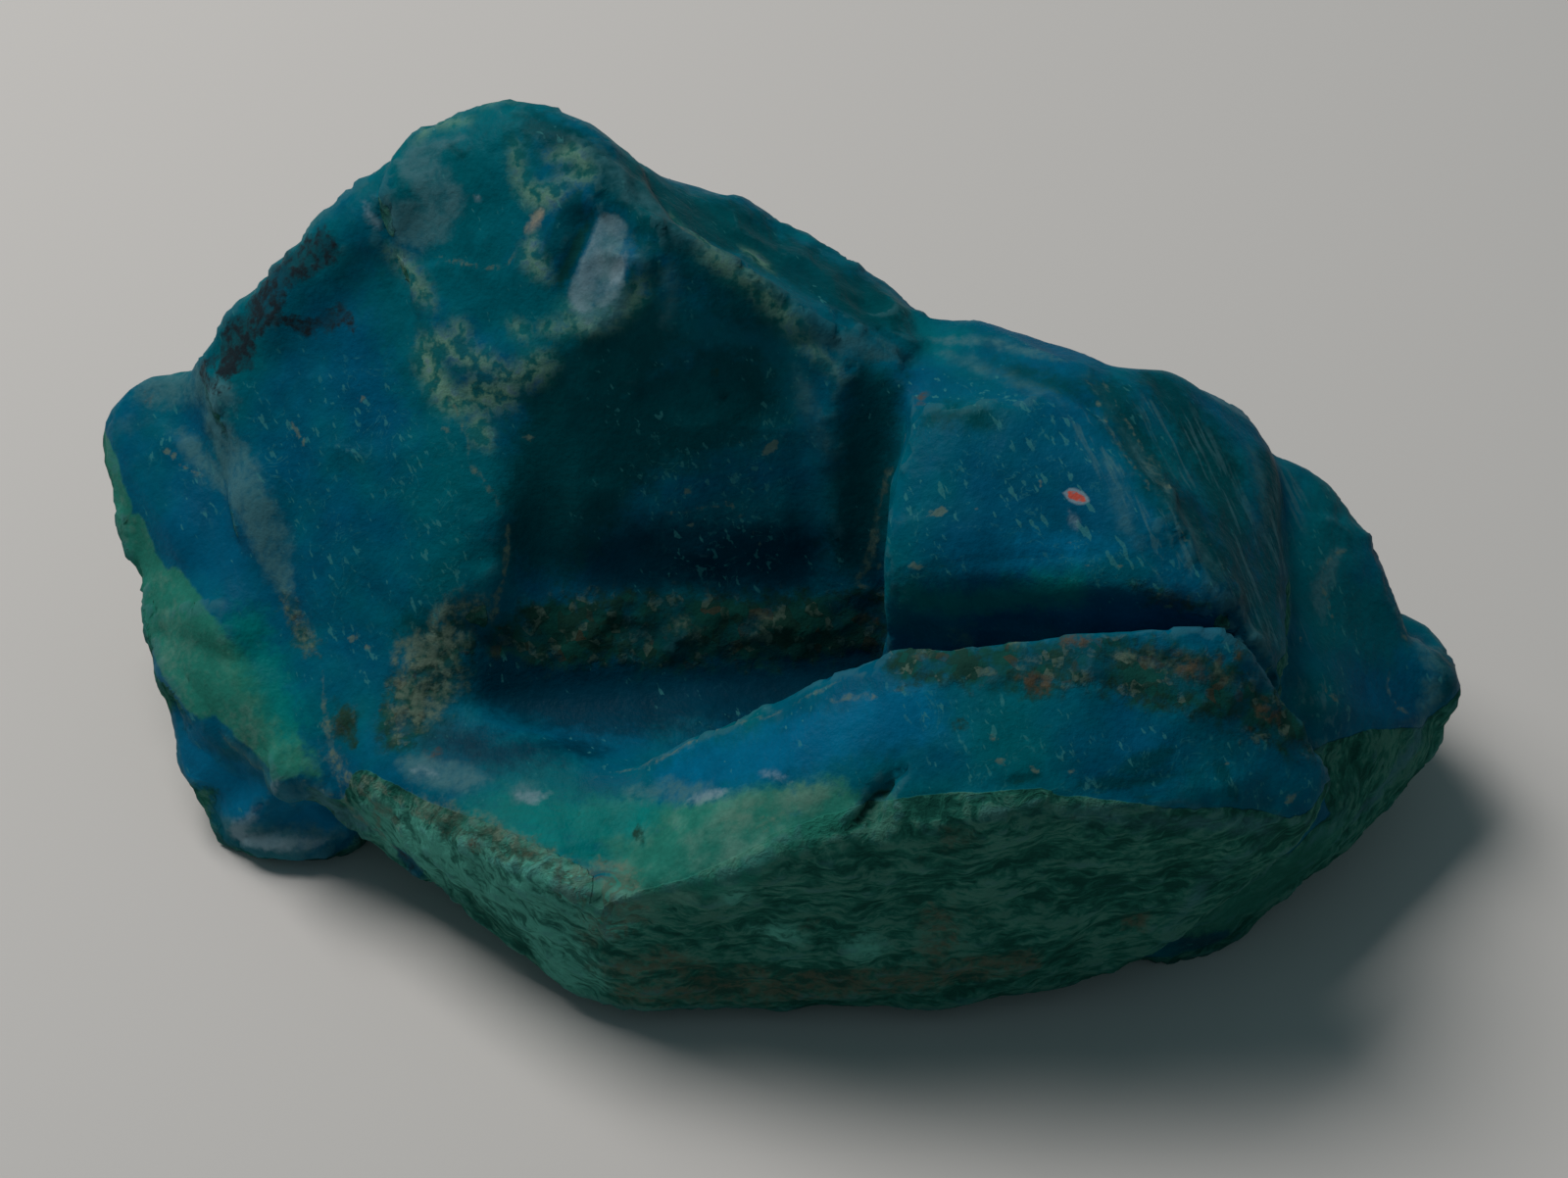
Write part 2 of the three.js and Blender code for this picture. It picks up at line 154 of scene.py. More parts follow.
class ColourSettings(bpy.types.PropertyGroup):
    """Colours of the stone."""

    blue: colour("Blue", "Clean broken faces", (0.0, 0.09, 0.175))
    cyan: colour("Cyan", "Brightest blue, on the blade", (0.0, 0.14, 0.28))
    teal: colour("Teal", "Greener broken faces", (0.0, 0.12, 0.15))
    # painted shade for the hollow and the recess, and the darker blue of two real bits
    deep: colour("Deep blue", "Faces inside the hollow", (0.0, 0.034, 0.062))
    # painted shade on faces turned from the light and in narrow grooves
    shade: colour("Dark teal", "Faces behind the crest and on the shoulder", (0.0, 0.06, 0.072))
    turquoise: colour("Turquoise", "Pale specks and fine lines in the blue", (0.045, 0.24, 0.25))
    crust: colour("Crust", "Green crust of the old outside", (0.02, 0.142, 0.106))
    # dark crust, also painted shade in the crust's hollows, the notch and the cap's groove
    crust_dark_and_shade: colour("Dark crust", "Hollows between the crust's layers", (0.008, 0.07, 0.054))
    crust_pale: colour("Pale crust", "Worn ridges of the crust", (0.085, 0.23, 0.18))
    # sea-green crust, lightened as painted light on the lit prow face
    sea: colour("Sea green", "Lighter crust at the prow", (0.08, 0.34, 0.27))
    # also painted light in the shaded recess under the ledge
    lagoon: colour("Lagoon green", "Blue-green left end of the pale green zone", (0.0, 0.18, 0.175))
    leaf: colour("Leaf green", "Pale green zones", (0.02, 0.19, 0.14))
    moss: colour("Moss", "Grey-green specks under the cap", (0.145, 0.3, 0.22))
    tan: colour("Tan", "Veins and grains", (0.13, 0.19, 0.145))
    matrix: colour("Matrix", "Brown-green host rock", (0.012, 0.05, 0.035))
    rust: colour("Rust", "Iron stains", (0.1, 0.062, 0.034))
    stain: colour("Stain", "Grey-brown staining low on the crust", (0.09, 0.095, 0.065))
    black: colour("Black", "Purple-black coating", (0.014, 0.026, 0.034))
    # grey dust on worn edges, also painted reflection and highlight on the glossy chip, the bevels and the
    # rims
    dust: colour("Dust", "Grey on worn edges", (0.055, 0.17, 0.2))
    cream: colour("Cream", "The cream spot on the cap", (0.4, 0.34, 0.25))
    # painted highlight, also the real pale blots in the moss and the pale rim of the red grain
    sheen: colour("Sheen", "Pale lavender highlight", (0.25, 0.36, 0.42))
    red: colour("Red", "The one red grain", (0.55, 0.1, 0.07))


class StageSettings(bpy.types.PropertyGroup):
    """The floor and the light."""

    floor: colour("Floor", "Pale floor", (0.62, 0.61, 0.6))
    floor_size: length("Floor size", "Side of the square floor", 1600.0)
    key_power: bpy.props.FloatProperty(
        name="Key light", description="Power of the soft light from the upper left",
        default=1.98, min=0.0, subtype="POWER")
    key_colour: colour("Key colour", "Colour of the soft light", (1.0, 0.94, 0.9))
    key_size: length("Key size", "Side of the soft light", 280.0)
    fill: bpy.props.FloatProperty(
        name="Fill", description="Strength of the even light from the whole room",
        default=0.12, min=0.0)
    fill_colour: colour("Fill colour", "Colour of the even light", (0.62, 0.92, 1.0))


# Marks. Each kind has strokes. A stroke gives its half width in millimetres, and then its path
# over the stone as pixels across,down in the view.

MARKS = {
    # greener faces: the cap, the left face's right half and the hollow's wall
    "teal": [
        "2.6 470,130 520,200 470,280 560,330", "2.0 405,300 440,400 468,480",
        "2.6 660,330 600,430 570,500 640,450 760,420", "2.4 1370,520 1330,600 1400,640"],
    # painted shade: darker blue where shade falls in the hollow, in the recess under the ledge and on two
    # faces beside it; also the real darker blue of two bits in the crust
    "deep": [
        "2.6 520,690 620,715 720,705 860,675", "2.2 620,575 700,565 800,570", "1.0 440,755 520,768 600,765",
        "1.2 1180,968 1235,962", "0.8 385,888 430,915", "1.2 1215,520 1250,590 1265,640"],
    # painted shade: dark teal on faces turned from the light: the crest's far side, the buttress and the
    # shoulder
    "shade": [
        "2.8 640,340 580,430 560,540 640,440 740,400", "2.8 660,190 760,235 880,310",
        "1.6 620,170 690,240 770,310", "1.2 545,130 590,150 620,185", "1.6 890,400 880,470 870,560",
        "1.8 1190,400 1240,470 1270,600", "1.4 1130,400 1190,500 1240,570",
        "1.4 1300,480 1300,560 1290,640", "0.7 1020,372 1090,396 1120,405", "0.7 940,428 975,420 1012,432",
        "1.5 560,650 700,655 860,640", "1.0 425,640 460,690 430,740", "0.8 1472,665 1478,690 1470,720"],
    # painted shade in narrow grooves and on edges turned from the light, and dark green cracks on the blade
    "gloom": [
        "0.7 592,192 578,232 556,268", "0.45 606,212 586,255 567,300", "0.3 652,262 644,290 628,306",
        "0.2 396,205 398,225 394,248", "0.7 560,130 600,150 625,180", "0.3 455,142 470,160 480,150",
        "0.9 575,385 560,410 540,430", "0.6 652,240 664,268 664,300", "0.35 1100,802 1160,797 1217,786",
        "0.3 1028,796 1064,791", "0.5 1140,786 1175,776 1200,765", "0.4 1240,775 1262,818"],
    # the brightest blue: the lower end of the blade's top and the foot, and painted light that brightens
    # the shaded recess under the ledge's edge
    "cyan": [
        "1.6 690,795 800,765 930,725", "0.8 1150,560 1060,560 900,590",
        "1.9 200,775 218,802 262,815 325,832"],
    # blue that shows through the crust
    "bare": [
        "1.1 1182,970 1236,960", "0.8 385,888 430,915", "1.4 200,395 218,445 240,500 275,560 290,610",
        "2.4 186,760 200,815 240,842 330,850"],
    # a yellower green at the front of the blade
    "lime": ["0.9 735,838 790,825 850,812"],
    # a smooth dark green face at the front's lower right
    "calm": ["1.8 1345,868 1290,908 1235,940"],
    # crust that reaches over the front rim onto the top
    "rind": [
        "1.2 370,810 430,842 500,868 580,905", "1.3 640,935 720,915 790,886 850,858",
        "1.2 800,875 880,848 960,836 1060,830", "0.7 1000,836 1100,828 1240,838 1330,842",
        "1.0 1352,778 1395,764 1440,762", "1.5 1372,805 1405,800 1440,780", "1.0 1375,845 1410,822"],
    # zones with dense pale specks and fine lines
    "web": [
        "3.0 690,480 760,500 740,550", "1.2 800,400 790,450", "2.4 930,560 990,500 1060,480 1080,560",
        "1.6 960,400 1060,420 1110,470", "2.2 250,420 310,480 340,560",
        "1.8 360,400 420,460 450,560 440,620", "1.6 1140,585 1200,600 1260,640",
        "2.0 960,720 1010,770 1100,790", "1.8 1180,760 1260,770 1320,810", "1.6 1340,570 1370,640 1360,710",
        "1.4 170,450 220,500", "1.4 340,620 380,650"],
    # moss: in branches under the cap, on the cap and along the crest
    "moss": [
        "0.75 428,345 440,378 456,405 486,420", "0.6 430,347 455,350 480,368 512,372",
        "0.6 500,378 530,388 566,372", "0.5 560,362 540,372 524,392", "0.9 470,398 505,404 530,394",
        "0.5 486,418 490,440 498,455", "0.35 462,330 476,342", "0.25 522,330 538,342",
        "0.25 550,334 582,334", "0.6 575,312 600,330 645,318", "0.4 620,335 650,300 655,285",
        "0.55 396,255 418,280 441,312", "0.3 525,149 528,172 529,193", "0.6 530,190 550,202 575,196",
        "0.5 545,240 540,262 560,284", "0.4 560,160 590,156 598,178 570,182", "0.3 415,132 440,126 478,124",
        "0.3 494,98 530,100", "0.5 682,219 727,259 772,289 796,319 836,364 858,385", "0.5 760,255 785,275"],
    # grey dust on edges and ridges, with a painted highlight along the blade's front rim and painted light
    # on the foot's bevel
    "dust": [
        "0.8 600,142 632,178 667,209 700,240 722,262", "0.25 684,262 684,300 678,334",
        "0.6 835,345 880,352 925,365", "0.5 815,375 825,420 850,470", "0.4 960,360 1030,385 1090,420",
        "0.3 1110,383 1165,470 1215,540 1250,592", "0.25 1131,470 1149,537 1165,558",
        "0.35 1275,455 1290,500 1290,560", "0.35 1262,603 1290,660 1318,695",
        "0.5 1021,826 1150,836 1280,842 1368,830", "0.35 1300,852 1240,890 1180,965",
        "0.3 1378,800 1366,835 1335,865", "0.3 112,400 108,440 118,480", "0.4 230,752 262,782 300,795",
        "0.5 228,842 265,856 340,854", "0.9 442,182 450,206 430,224"],
    # scratches that fan out over the shoulder and the haunch
    "fan": [
        "2.6 1200,440 1250,520 1280,610", "1.6 1310,500 1305,580 1300,640",
        "1.6 1120,440 1160,500 1200,560", "1.4 1330,660 1350,720 1360,780"],
    # the pale green outer side of the wing
    "green": [
        "0.9 106,440 120,500 136,545", "1.3 136,545 150,580 168,612", "1.9 172,612 205,655 238,712",
        "1.5 225,690 258,740 286,772", "1.6 150,610 180,665 205,705"],
    # sea-green crust on the prow's left face, painted lighter as painted light where that face catches the
    # light
    "sea": [
        "2.4 400,850 470,890 540,930 580,985", "1.8 480,870 560,900 610,940", "0.8 775,948 815,958",
        "0.8 865,962 900,970", "0.9 730,905 760,915"],
    # a thin grey film on the cap, the bevel beside the wing and the rims, with painted reflection on the
    # bevel, the cap and the hollow's near rim, and painted light on the foot's bevel
    "film": [
        "1.2 425,160 440,185 448,205", "1.4 448,205 440,222 420,232", "0.8 396,200 405,220 420,240",
        "0.3 408,175 440,150 470,140", "0.7 640,240 625,250 618,290", "0.7 640,300 615,325 585,318",
        "0.5 1366,562 1344,600 1352,636", "1.1 204,392 214,430 232,475 250,515",
        "1.3 225,450 246,490 262,525 276,555", "0.9 262,530 282,575 298,606", "1.0 118,405 150,396 180,396",
        "0.6 186,440 205,470 230,500", "0.7 305,800 345,830 375,858",
        "0.55 1426,622 1440,650 1462,680 1462,708 1450,740 1436,770 1406,808 1378,842",
        "0.5 640,808 680,806 735,810", "0.3 955,346 1020,350 1080,366", "0.5 520,805 552,812",
        "0.8 408,778 450,790 495,798", "0.8 226,838 262,853 300,858 345,852"],
    # brown staining low on the front
    "stain": [
        "0.9 600,990 680,978 730,992", "0.8 745,1005 783,990", "1.1 640,1010 760,1012 900,1004 1040,984",
        "0.8 840,1010 905,1003", "0.8 945,925 960,950 955,985", "0.6 1150,945 1172,938",
        "0.5 965,858 990,852", "0.6 588,950 606,965"],
    # pale green zones: in front of the hollow and on the wing
    "leaf": [
        "1.8 640,850 655,880 700,860 775,835", "1.0 600,836 640,836 700,836 850,815",
        "1.4 615,918 660,916 712,896 765,872", "1.0 740,876 800,852 858,822", "0.4 890,818 915,822",
        "0.9 216,640 240,672 264,712 282,750", "0.6 286,730 300,770 322,790"],
    # twisted growth at the prow's corner
    "knot": [
        "1.3 585,900 620,905 645,925 615,945", "0.6 430,828 500,860 570,888"],
    # the blue-green ends of the pale green zones, and painted light that brightens the shaded recess under
    # the ledge
    "lagoon": [
        "1.4 520,825 590,838 650,835", "1.0 480,835 560,858 610,875", "1.0 930,612 1000,615 1090,603",
        "1.0 250,640 275,690 292,740"],
    # host rock: at the feet of the wall and the left face, and on the blade's ridge
    "matrix": [
        "1.9 550,645 640,640 740,640 840,640 890,632", "0.8 520,640 500,670",
        "1.3 925,674 990,674 1060,682 1130,676", "1.6 1140,680 1215,696 1270,714 1325,742",
        "0.45 1252,634 1266,680", "0.5 1160,600 1200,618 1240,618", "0.8 348,722 354,748",
        "0.4 970,852 1000,857", "1.2 480,632 450,675 415,710 405,745", "0.4 292,600 306,640 318,665",
        "0.35 430,832 480,846 530,866 570,884"],
    # tan grains in the host rock and along the rims
    "tan": [
        "1.0 484,622 458,650 430,682", "0.8 405,695 418,725 405,750", "1.5 428,672 446,690 426,716",
        "0.7 458,612 452,640 440,665", "0.5 290,595 304,632 318,668",
        "0.35 332,739 341,777 365,801 389,825 408,850", "0.3 404,812 447,826 504,841 552,873 585,880",
        "0.2 590,890 628,880 652,898 657,925", "0.5 942,668 985,655 1040,660",
        "0.3 1140,668 1190,672 1240,684 1262,700", "0.3 770,842 795,830", "0.35 690,630 714,655",
        "0.25 765,652 782,630", "0.4 1287,721 1330,740", "0.2 1174,470 1190,500"],
    # the cream spot on the cap
    "cream": ["0.3 553,214 546,226 538,236"],
    # iron stains
    "rust": [
        "0.35 1039,692 1062,698 1076,692", "0.35 1085,655 1112,652", "0.45 1200,680 1235,690",
        "0.35 1280,722 1310,735", "0.25 884,628 896,634", "0.3 437,768 452,768", "0.2 945,400 938,412",
        "0.35 478,862 492,864", "0.3 1252,640 1262,672", "0.5 347,724 354,750", "0.2 147,403 152,410"],
    # specks of host rock
    "olive": [
        "0.3 972,735 985,741", "0.6 350,716 352,742 362,762", "0.3 650,842 654,862", "0.3 728,378 731,381"],
    # single pale flecks in the blue
    "fleck": [
        "0.12 1010,750 1018,756", "0.16 1014,772 1028,780", "0.14 1088,788 1100,786",
        "0.1 1050,783 1060,787", "0.08 1251,778 1253,779", "0.14 1312,818 1326,808", "0.22 942,527 968,519",
        "0.12 996,518 1000,520", "0.2 928,578 946,577", "0.12 1060,491 1065,500", "0.12 873,596 890,599",
        "0.12 896,580 901,572", "0.12 1086,554 1092,553", "0.12 1105,577 1116,579",
        "0.16 1186,621 1196,618", "0.14 1236,606 1246,608", "0.14 1140,575 1150,580", "0.3 778,464 792,450",
        "0.12 534,447 548,446", "0.12 755,452 760,456", "0.12 697,503 706,500", "0.14 698,540 708,534",
        "0.12 740,512 752,522", "0.12 770,545 780,560", "0.12 683,521 690,526", "0.2 452,434 458,440",
        "0.12 296,432 312,456", "0.1 360,410 374,405", "0.16 355,652 368,646", "0.14 372,660 380,664",
        "0.16 166,458 182,468", "0.1 182,474 208,486", "0.2 515,552 519,562", "0.2 511,584 515,588",
        "0.14 1426,646 1436,652", "0.14 1347,700 1368,718", "0.1 1326,652 1330,653"],
    # thin tan lines: down the nose, along the blade, and over the shoulder and the haunch
    "vein": [
        "0.1 446,388 468,423 483,478 503,503 518,538 518,563 513,587 508,617 500,640",
        "0.12 604,794 643,785 667,777 714,753 753,736 786,729 839,703 880,682",
        "0.14 839,717 868,712 896,709", "0.12 942,413 924,445 906,482 899,510 890,555",
        "0.1 1103,380 1121,413 1144,459 1176,500 1213,551 1250,592",
        "0.06 1120,380 1140,415 1165,455 1196,500 1232,550 1262,598",
        "0.08 1374,560 1356,570 1346,592 1354,612 1360,632 1362,650",
        "0.07 1417,684 1416,704 1426,722 1440,730", "0.08 443,259 470,268 500,273 518,270 528,254",
        "0.1 222,746 260,782 308,798 341,812 370,838 394,880",
        "0.2 329,685 334,746 346,792 380,817 395,868", "0.2 350,785 384,800 420,826 450,848",
        "0.18 344,790 362,830 374,862", "0.06 680,523 722,518 742,513 752,523 776,553",
        "0.16 678,214 700,236 724,256", "0.25 896,530 888,568 872,597", "0.16 512,590 508,612 498,636",
        "0.16 592,878 614,898 630,922 640,950", "0.12 606,872 632,884 654,908 664,930"],
    # the coating on the peak's left edge
    "black": [
        "1.1 296,250 278,285 272,318", "0.85 256,290 262,310 284,330", "0.9 246,318 250,350 240,382",
        "0.75 225,310 234,340 230,372 236,392", "0.5 284,324 312,334 346,324 352,298",
        "0.25 346,322 362,334", "0.45 194,350 206,380 224,402", "0.3 394,885 404,898"],
    # painted reflection: the glossy chip beside the cap's groove, pale where it reflects the light
    "gloss": [
        "1.0 622,236 610,268 596,300", "0.7 634,250 628,286 608,312"],
    # painted highlight: on that chip, at the hollow's near rim and on the foot's bevel
    "sheen": [
        "0.4 638,260 632,278 622,292", "0.16 370,204 378,222 386,236", "0.3 702,818 722,812 740,808",
        "0.25 528,808 545,815 560,810", "0.15 420,784 448,792", "0.1 776,788 806,796",
        "0.1 1090,520 1098,538", "0.12 486,200 490,204", "0.45 214,838 238,854 280,861 335,859"],
    # the one red grain
    "red": ["0.22 1088,502 1108,511"],
    # fine cracks, and painted shade in the groove in the cap
    "crack": [
        "0.22 604,214 586,255 567,298", "0.02 1012,806 1030,800 1052,795",
        "0.02 1021,818 1080,814 1130,806 1190,794", "0.02 1186,635 1220,630 1250,631",
        "0.02 594,822 585,840 577,860", "0.05 566,872 592,868 622,880 646,904 662,934",
        "0.05 574,884 586,906 602,930 614,960", "0.03 1060,822 1180,812 1300,822",
        "0.02 240,700 262,760 310,790", "0.02 905,590 960,578 1050,568 1120,566"],
    # the deep notch in the front rim, darkened inside as painted shade
    "slit": ["0.12 922,784 898,812 872,842"],
}

# The same for the stone's shape: what stands out or back, and where its relief changes.
FORMS = {
    # the wing's outer side, the peak's left rim and the tail's tip stand out
    "raised": [
        "1.0 120,540 145,600 166,640", "1.6 170,640 205,690 240,730", "1.0 240,730 270,762 296,785",
        "0.8 214,312 245,272 292,226 345,188", "0.3 1468,690 1476,704"],
    # the foot's lower corner stands out too
    "heel": ["0.3 196,812 206,832 236,850 280,862 330,864"],
    # the hollow in the tail's knob
    "sunk": ["0.8 1436,634 1462,652"],
    # the foot, which stays back under the wing's edge
    "foot": [
        "1.5 176,735 186,770 196,800", "1.6 205,785 238,815 270,835", "1.2 265,822 310,840 350,862"],
    # ground that is broken into small chips
    "chip": [
        "2.0 600,150 640,230 620,300 590,350", "1.5 440,380 520,380", "2.0 760,220 840,260 920,320",
        "1.5 860,370 850,480 900,560", "1.5 330,780 400,850 480,860", "1.0 600,640 800,640",
        "1.5 950,660 1150,670 1330,740", "1.2 1200,560 1300,690"],
    # faces that run into one another without a crease
    "melt": [
        "3.0 420,775 520,800 590,800", "3.0 500,750 560,790 640,760", "2.4 320,640 400,690 450,720 350,740",
        "2.4 260,480 300,600", "1.6 445,345 470,395 520,395 560,365", "1.6 540,440 548,520 540,620",
        "2.2 470,690 505,720 560,730", "1.5 560,598 640,602 740,602 850,600",
        "1.3 560,700 640,700 740,695 850,672", "1.2 890,410 898,480 895,560", "1.2 198,400 220,450 248,520",
        "1.3 1220,766 1244,758 1268,750"],
}


# ---- The stone's surface ----


class Skin:
    """The surface as arrays: points, four-sided faces, and the faces that meet at each edge."""

    def __init__(self, mesh):
        self.mesh = mesh
        self.points = values_of(mesh.vertices, "co", 3, float).reshape(-1, 3)
        self.faces = values_of(mesh.loops, "vertex_index", 1).reshape(-1, 4)
        by_edge = np.argsort(values_of(mesh.loops, "edge_index", 1), kind="stable")
        self.pairs = (by_edge // 4).reshape(-1, 2)
        self.edges = values_of(mesh.edges, "vertices", 2).reshape(-1, 2)

    def face_vectors(self):
        """Each face's normal, as long as twice its area."""
        a, b, c, d = (self.points[self.faces[:, corner]] for corner in range(4))
        return np.cross(c - a, d - b)

    def normals(self):
        """Each point's outward normal."""
        spread = np.repeat(self.face_vectors(), 4, axis=0)
        return unit(gather(spread, self.faces.ravel(), len(self.points)))

    def mean_of_neighbours(self, values):
        """Each point's neighbours' mean, for a row of numbers or of vectors per point."""
        start, end = self.edges.T
        places = np.concatenate([start, end])
        count = np.bincount(places, minlength=len(self.points))
        rows = np.concatenate([values[end], values[start]])
        if values.ndim == 1:
            return np.bincount(places, rows, len(self.points)) / count
        return gather(rows, places, len(self.points)) / count[:, None]

    def chisel(self, crease, passes, settle):
        """Melts shallow creases into smooth faces and keeps the sharp ones."""
        facing = unit(self.face_vectors())
        one, other = self.pairs.T
        places = np.concatenate([one, other])
        for _ in range(passes):
            gap = ((facing[one] - facing[other]) ** 2).sum(axis=1)
            weight = np.exp(-gap / (2.0 * crease**2))[:, None]
            pulled = np.concatenate([weight * facing[other], weight * facing[one]])
            facing = unit(facing + gather(pulled, places, len(facing)))
        corners = self.faces.ravel()
        count = np.bincount(corners, minlength=len(self.points))[:, None]
        spread = np.repeat(facing, 4, axis=0)
        for _ in range(settle):
            middle = np.repeat(self.points[self.faces].mean(axis=1), 4, axis=0)
            off = ((middle - self.points[corners]) * spread).sum(axis=1)[:, None]
            self.points += gather(off * spread, corners, len(self.points)) / count

    def relax(self, share, passes):
        """Moves each point its own share of the way to the middle of its neighbours."""
        for _ in range(passes):
            self.points += share[:, None] * (self.mean_of_neighbours(self.points) - self.points)

    def bend(self):
        """How far each point stands out of its neighbours, in metres: edges are above 0."""
        return -((self.mean_of_neighbours(self.points) - self.points) * self.normals()).sum(axis=1)

    def blurred(self, values, passes):
        """Values with their small changes smoothed out."""
        for _ in range(passes):
            values = 0.5 * values + 0.5 * self.mean_of_neighbours(values)
        return values

    def write_back(self):
        """Puts the points into the mesh."""
        self.mesh.vertices.foreach_set("co", self.points.ravel())
        self.mesh.update()

    def store(self, name, values):
        """Keeps one number per point for the material to read."""
        layer = self.mesh.attributes.new(name, "FLOAT", "POINT")
        layer.data.foreach_set("value", values.astype(np.float32))


def values_of(items, name, width, kind=int):
    """The values of the given name that a mesh's items hold, one after the other."""
    values = np.empty(len(items) * width, kind)
    items.foreach_get(name, values)
    return values


def gather(values, places, count):
    """Adds up rows of values at the given places."""
    return np.stack([np.bincount(places, values[:, axis], count) for axis in range(3)], axis=1)


def unit(rows):
    """Rows scaled to a length of 1."""
    return rows / np.maximum(np.linalg.norm(rows, axis=1), 1e-12)[:, None]


def ramp(values, low, high):
    """0 below low, 1 above high, and a smooth rise between them."""
    share = np.clip((values - low) / (high - low), 0.0, 1.0)
    return share * share * (3.0 - 2.0 * share)


def grainy(points, period, octaves=3, shift=0.0):
    """Fractal noise at each point, about -1 to 1, with lumps of the given size."""
    places = (points / period + shift).tolist()
    return np.array([noise.fractal(place, 0.8, 2.0, octaves) for place in places])


def within(away, soft):
    """1 inside a mark, 0 further than soft outside it, for distances in millimetres."""
    return 1.0 - ramp(away, -0.3 * soft, soft)


def scallops(points, period, tilt):
    """Hollow tilted chips with crisp ridges between them: each point's height, about 0 to 1."""
    height = []
    for place in (points / period).tolist():
        place = Vector(place)
        offsets = [(place - middle, noise.cell_vector(middle * LEAN_PICK))
                   for middle in noise.voronoi(place)[1]]
        height.append(min(off.length_squared + tilt * off.dot(lean) for off, lean in offsets))
    return np.array(height)


def voxel_skin(source, grain):
    """An even four-sided mesh over a closed solid made of loose triangles, laid on its surface."""
    solid = bmesh.new()
    solid.from_mesh(source.data)
    bmesh.ops.remove_doubles(solid, verts=solid.verts, dist=1e-7)
    merged = bpy.data.meshes.new("merged")
    solid.to_mesh(merged)
    surface = BVHTree.FromBMesh(solid)
    solid.free()
    holder = bpy.data.objects.new("holder", merged)
    bpy.context.scene.collection.objects.link(holder)
    remesh = holder.modifiers.new("even", "REMESH")
    remesh.mode = "VOXEL"
    remesh.voxel_size = grain
    shown = holder.evaluated_get(bpy.context.evaluated_depsgraph_get())
    skin = bpy.data.meshes.new_from_object(shown)
    bpy.data.objects.remove(holder)
    bpy.data.meshes.remove(merged)
    for vertex in skin.vertices:
        vertex.co = surface.find_nearest(vertex.co)[0]
    return skin


# ---- Where the marks lie ----


def on_stone(pixel, surface):
    """The place on the stone that a pixel of the view shows, and the way the stone faces there."""
    across = (pixel[0] - VIEW_WIDTH / 2) / FOCAL_PIXELS
    rise = (VIEW_HEIGHT / 2 - pixel[1]) / FOCAL_PIXELS
    sight = (VIEW_FORWARD + VIEW_RIGHT * across + VIEW_UP * rise).normalized()
    place, facing, _, _ = surface.ray_cast(VIEW_EYE, sight)
    if place is None:
        beside = VIEW_EYE + sight * (VIEW_TARGET - VIEW_EYE).dot(sight)
        place, facing, _, _ = surface.find_nearest(beside)
    return np.array(place), np.array(facing)


def read_stroke(stroke):
    """A stroke's half width in metres, and the pixels of its path."""
    half_width, *pixels = stroke.split()
    return float(half_width) * MM, [tuple(map(int, pixel.split(","))) for pixel in pixels]


def distance_to_line(points, normals, line, radius, penalty):
    """How far each point lies outside a line of the given half width; a narrow line is pointed."""
    spans = np.array([np.linalg.norm(end - start) for (start, _), (end, _) in zip(line, line[1:])])
    before = np.concatenate([[0.0], np.cumsum(spans)])
    nearest = np.full(len(points), np.inf)
    for index, ((start, start_facing), (end, end_facing)) in enumerate(zip(line, line[1:])):
        run = end - start
        share = np.clip((points - start) @ run / (run @ run), 0.0, 1.0)
        off = np.linalg.norm(points - start - share[:, None] * run, axis=1)
        turned = BACK_TURN - normals @ unit((start_facing + end_facing)[None, :])[0]
        along = (before[index] + share * spans[index]) / before[-1]
        pointed = np.minimum(1.0, POINT + TAPER * np.minimum(along, 1.0 - along))
        width = radius if radius >= BROAD else radius * pointed
        nearest = np.minimum(nearest, off - width + penalty * np.maximum(turned, 0.0))
    return nearest


def mark_distances(marks, skin):
    """For each kind of mark, how far outside it each point lies, in millimetres."""
    surface = BVHTree.FromPolygons(skin.points.tolist(), skin.faces.tolist())
    normals = skin.normals()
    distances = {}
    for kind, strokes in marks.items():
        penalty = 0.0 if kind in WRAPPING else BACK_PENALTY
        nearest = np.full(len(skin.points), np.inf)
        for radius, pixels in map(read_stroke, strokes):
            line = [on_stone(pixel, surface) for pixel in pixels]
            away = distance_to_line(skin.points, normals, line, radius, penalty)
            nearest = np.minimum(nearest, away)
        distances[kind] = nearest / MM
    return distances


# ---- The relief ----


def break_faces(skin, settings):
    """Swells, scallops and chips the broken faces, and raises what stands out."""
    forms = mark_distances(FORMS, skin)
    melted = within(forms["melt"], 0.8)
    bent = skin.points + BEND * grainy(skin.points, BEND_SIZE, 2, 3.0)[:, None]
    swells = grainy(skin.points, SWELL_SIZE, 2) + scallops(bent, HOLLOW_SIZE, 1.0)
    chips = within(forms["chip"], 1.0) * scallops(bent, CHIP_SIZE, 1.0)
    rise = (1.0 - melted) * (settings.swell * swells + settings.chip * chips)
    skin.points += rise[:, None] * skin.normals()
    skin.relax(melted, MELT_PASSES)
    rise = within(forms["raised"], 2.6) * (1.0 - within(forms["foot"], 0.35))
    rise += within(forms["heel"], 1.6) - within(forms["sunk"], 2.0)
    skin.points += (settings.step * rise)[:, None] * skin.normals()
    skin.chisel(settings.crease, 1, 1)


def crust_share(skin, normals):
    """1 on the old outside of the lump, which faces sideways and down, and 0 on broken faces."""
    steep = 1.0 - ramp(skin.blurred(normals[:, 2], 6), CRUST_ALL, CRUST_NONE)
    x, y, z = skin.points.T / MM
    middle = (x > OPEN_X[0]) & (x < OPEN_X[1]) & (y > OPEN_Y[0]) & (y < OPEN_Y[1])
    return np.where(middle & (z > OPEN_BOTTOM), 0.0, steep)


